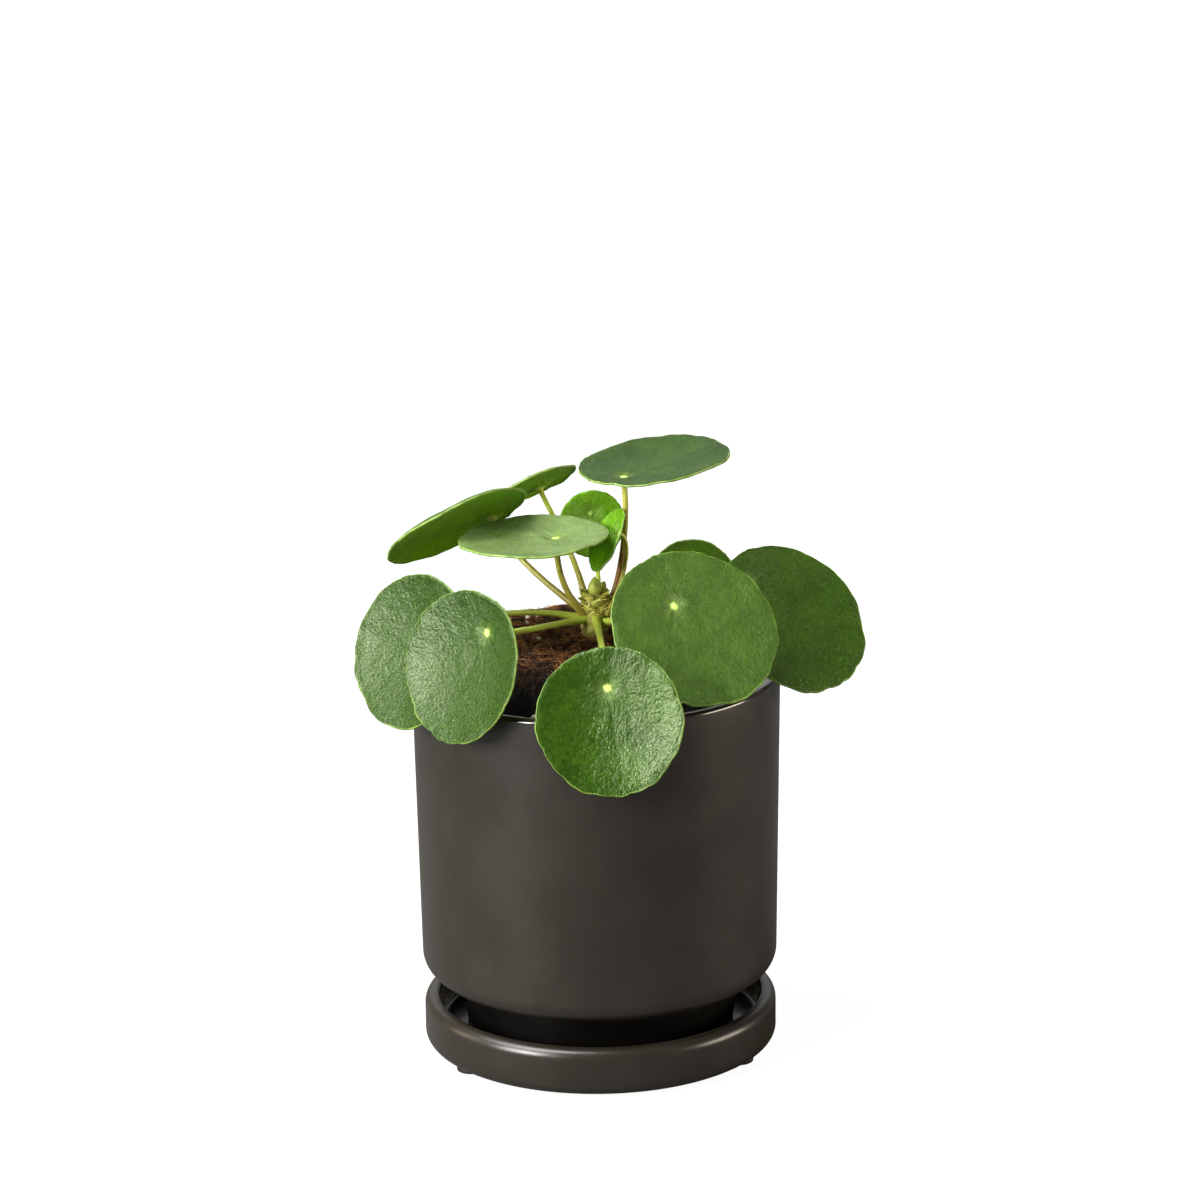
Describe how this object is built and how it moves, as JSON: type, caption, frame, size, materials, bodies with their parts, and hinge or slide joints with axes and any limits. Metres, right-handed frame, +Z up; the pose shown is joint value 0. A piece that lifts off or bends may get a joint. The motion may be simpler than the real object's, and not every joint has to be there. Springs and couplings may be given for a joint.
{
  "type": "potted chinese money plant",
  "caption": "Potted plant with round, coin-like leaves on long stalks, in a matte black cylindrical ceramic pot with a recessed foot on a matching saucer.",
  "frame": {"origin": "middle of the whole object's box, on the plane that the three pads stand on", "axes": "+Z up, -Y to the front that faces the viewer, +X to the viewer's right"},
  "size_m": [0.1874, 0.1518, 0.2225],
  "materials": {
    "rubber": "matte",
    "black_glaze": "satin",
    "soil": "matte",
    "stem": "matte",
    "bud": "satin",
    "leaf": "satin",
    "leaf_young": "satin",
    "stalk": "satin"
  },
  "bodies": {
    "root": {"saucer_pad_left": "rubber", "saucer_pad_right": "rubber", "saucer_pad_back": "rubber", "saucer": "black_glaze", "pot": "black_glaze", "soil": "soil", "stem": "stem", "bud": "bud", "leaf_top_right": "leaf", "stalk_top_right": "stalk", "leaf_middle_left": "leaf", "stalk_middle_left": "stalk", "leaf_back_left_upper": "leaf", "stalk_back_left_upper": "stalk", "leaf_back_left_small": "leaf", "stalk_back_left_small": "stalk", "leaf_young_rear": "leaf_young", "stalk_young_rear": "stalk", "leaf_young_front": "leaf_young", "stalk_young_front": "stalk", "leaf_left_rear": "leaf", "stalk_left_rear": "stalk", "leaf_left_front": "leaf", "stalk_left_front": "stalk", "leaf_front": "leaf", "stalk_front": "stalk", "leaf_right_front": "leaf", "stalk_right_front": "stalk", "leaf_right_rear": "leaf", "stalk_right_rear": "stalk", "leaf_back_right_small": "leaf", "stalk_back_right_small": "stalk"}
  },
  "joints": []
}
